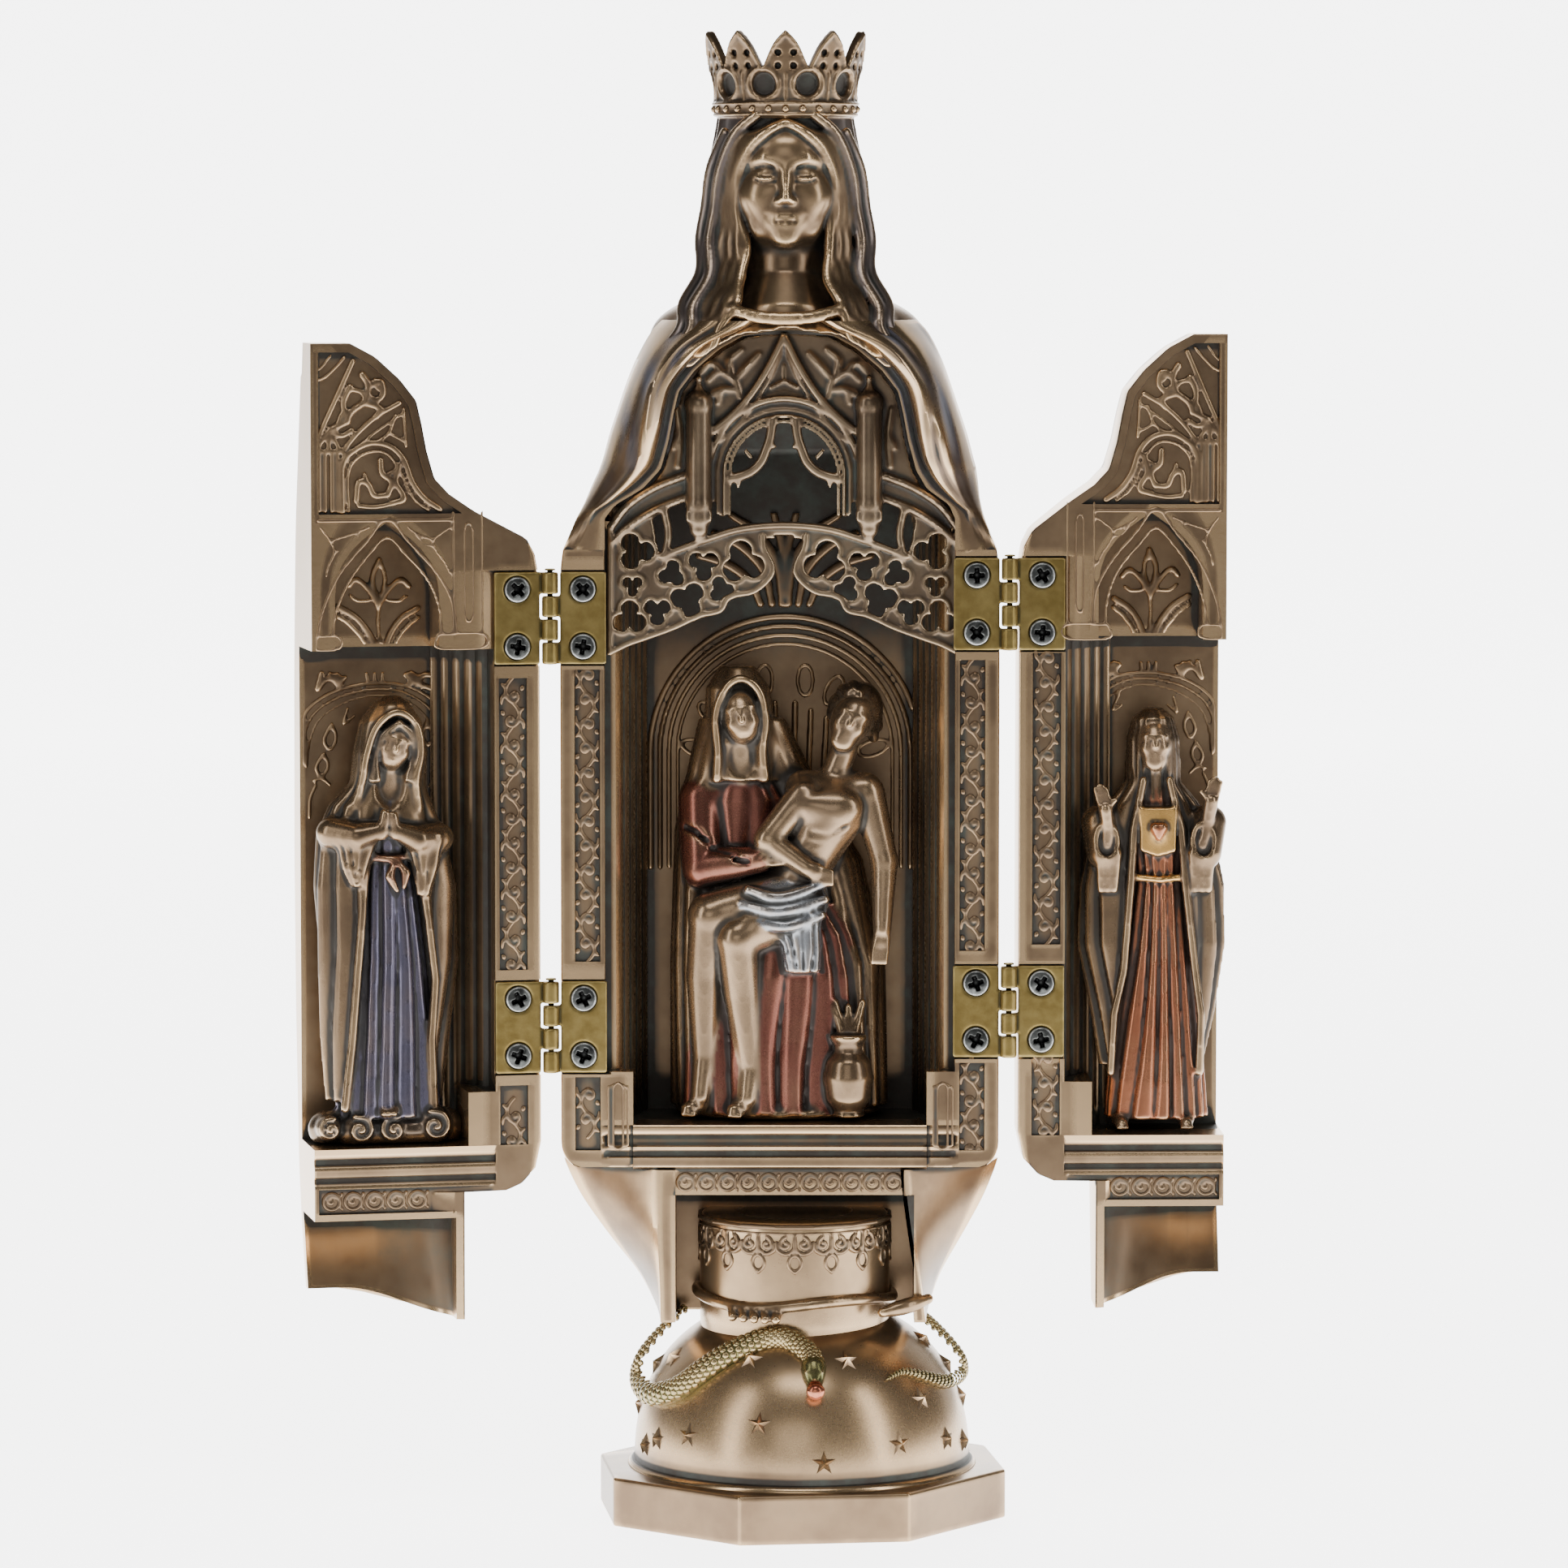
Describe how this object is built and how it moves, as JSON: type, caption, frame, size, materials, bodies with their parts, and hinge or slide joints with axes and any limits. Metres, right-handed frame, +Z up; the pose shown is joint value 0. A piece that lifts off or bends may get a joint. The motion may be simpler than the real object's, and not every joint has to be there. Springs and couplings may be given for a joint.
{
  "type": "polyptych sculpture",
  "caption": "Openable shrine statue: a crowned lady whose mantle opens on brass hinges as two carved doors, with figures in the niches, on a globe and an octagonal plinth.",
  "frame": {"origin": "on the underside of the octagonal plinth, under the middle of the body", "axes": "+X to the viewer's right, +Y to the back, +Z up; the figure faces -Y"},
  "size_m": [0.1812, 0.0762, 0.29],
  "materials": {
    "bronze_resin": "cold-cast bronze resin with a brown-bronze patina, dark in the hollows and rubbed golden on the high places",
    "dark_bronze": "cold-cast bronze resin, darker patina, golden on its edges",
    "group_bronze": "cold-cast bronze resin, robe tinted wine-red, loincloth tinted grey-blue",
    "praying_bronze": "cold-cast bronze resin, gown tinted blue-violet",
    "robed_bronze": "cold-cast bronze resin, gown tinted orange-red, a gilt heart on the chest",
    "antique_brass": "antique brass with speckled tarnish",
    "blackened_steel": "blackened steel, worn bright on the rims"
  },
  "bodies": {
    "shrine": {"shrine_body": "bronze_resin", "tracery_screen": "dark_bronze", "mourning_group": "group_bronze", "left_lower_fixed_leaf": "antique_brass", "left_lower_fixed_screw_1": "blackened_steel", "left_lower_fixed_screw_2": "blackened_steel", "left_lower_pin": "antique_brass", "left_upper_fixed_leaf": "antique_brass", "left_upper_fixed_screw_1": "blackened_steel", "left_upper_fixed_screw_2": "blackened_steel", "left_upper_pin": "antique_brass", "right_lower_fixed_leaf": "antique_brass", "right_lower_fixed_screw_1": "blackened_steel", "right_lower_fixed_screw_2": "blackened_steel", "right_lower_pin": "antique_brass", "right_upper_fixed_leaf": "antique_brass", "right_upper_fixed_screw_1": "blackened_steel", "right_upper_fixed_screw_2": "blackened_steel", "right_upper_pin": "antique_brass"},
    "left_door": {"left_door": "bronze_resin", "praying_figure": "praying_bronze", "left_lower_door_leaf": "antique_brass", "left_lower_door_screw_1": "blackened_steel", "left_lower_door_screw_2": "blackened_steel", "left_upper_door_leaf": "antique_brass", "left_upper_door_screw_1": "blackened_steel", "left_upper_door_screw_2": "blackened_steel"},
    "right_door": {"right_door": "bronze_resin", "robed_figure": "robed_bronze", "right_lower_door_leaf": "antique_brass", "right_lower_door_screw_1": "blackened_steel", "right_lower_door_screw_2": "blackened_steel", "right_upper_door_leaf": "antique_brass", "right_upper_door_screw_1": "blackened_steel", "right_upper_door_screw_2": "blackened_steel"}
  },
  "joints": [
    {"name": "left_door_hinge", "type": "hinge", "parent": "shrine", "child": "left_door", "pos_m": [-0.0445, -0.0103, 0.137], "axis": [0, 0, 1], "range_deg": [-25, 167.8]},
    {"name": "right_door_hinge", "type": "hinge", "parent": "shrine", "child": "right_door", "pos_m": [0.0445, -0.0103, 0.137], "axis": [0, 0, -1], "range_deg": [-12, 181.6]}
  ]
}
